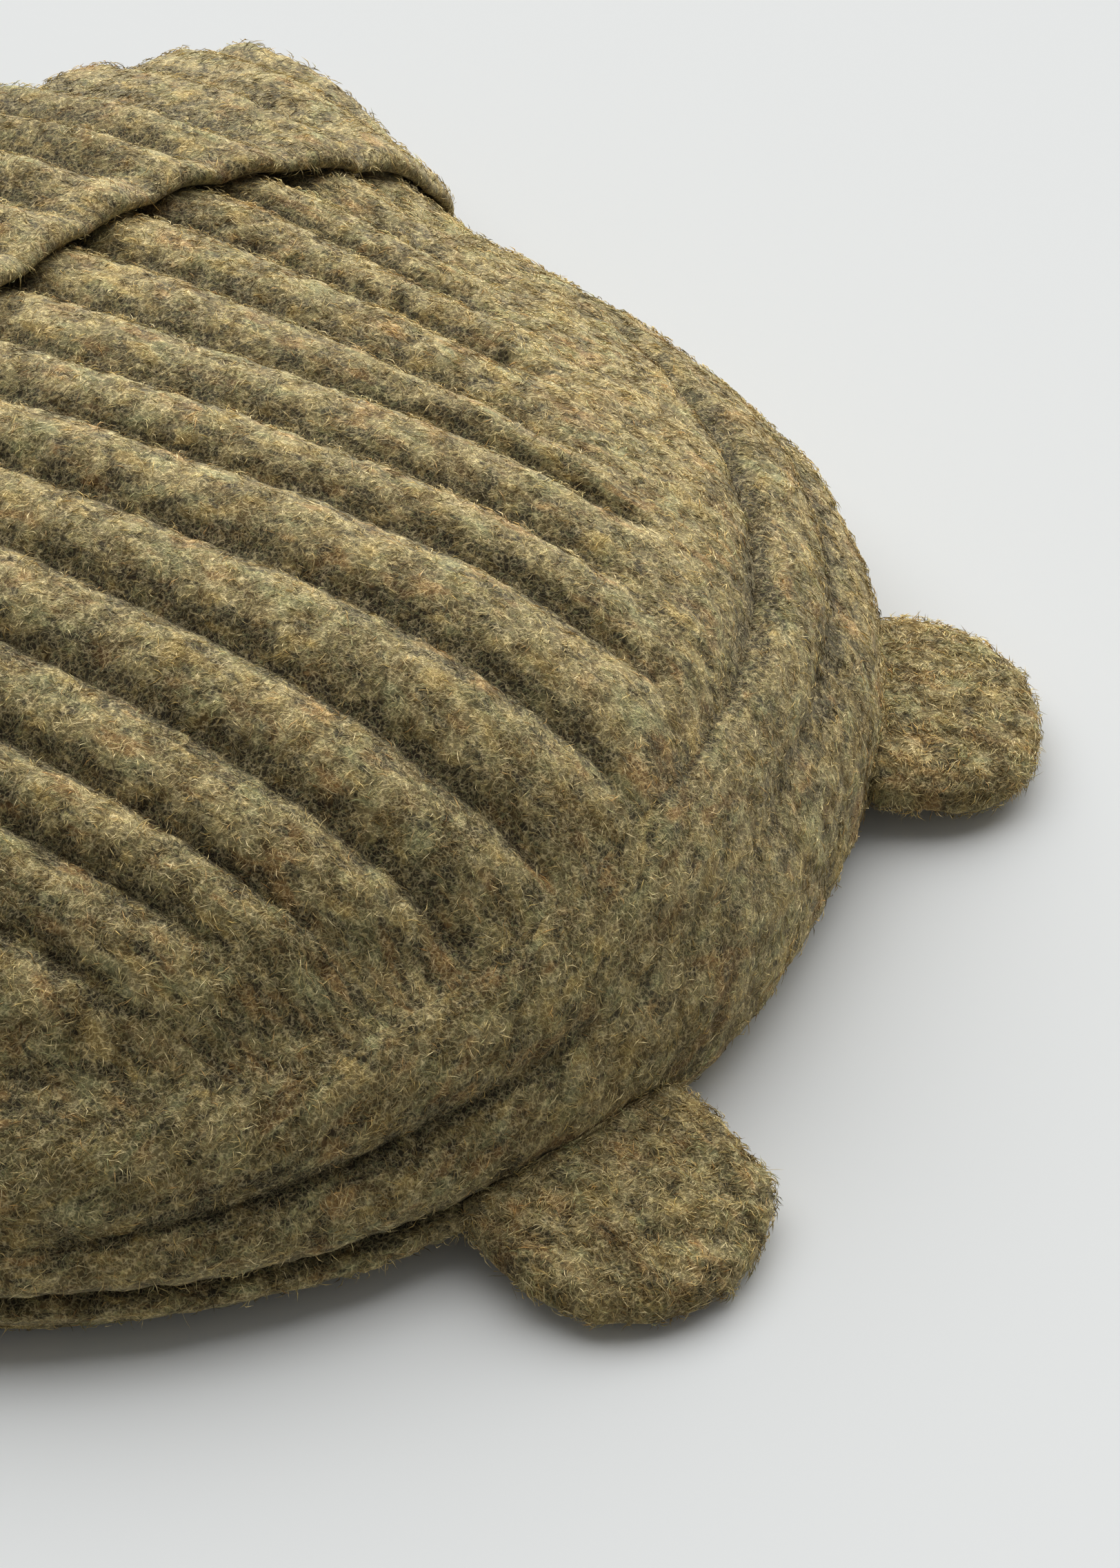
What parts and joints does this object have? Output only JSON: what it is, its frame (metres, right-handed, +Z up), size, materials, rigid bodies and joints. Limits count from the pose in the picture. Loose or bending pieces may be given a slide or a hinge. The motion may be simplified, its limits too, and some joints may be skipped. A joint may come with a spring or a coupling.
{
  "type": "baby hat with ears",
  "caption": "Ribbed felted wool baby beanie lying flat and softly puffed, with a turned-up cuff at the open brim and flat round padded ears on the crown.",
  "frame": {"origin": "on the table, under the middle of the hat's bounding box", "axes": "+Y from the brim to the crown, +Z up out of the front, +X the wearer's left"},
  "size_m": [0.1856, 0.1478, 0.0441],
  "materials": {
    "rib_wool": "heathered olive-brown felted rib knit with a fine curly nap",
    "ear_wool": "the same wool, felted smooth, with a fine curly nap"
  },
  "bodies": {
    "root": {"knit_crown": "rib_wool", "turned_up_cuff": "rib_wool", "ear_left": "ear_wool", "ear_right": "ear_wool"}
  },
  "joints": []
}
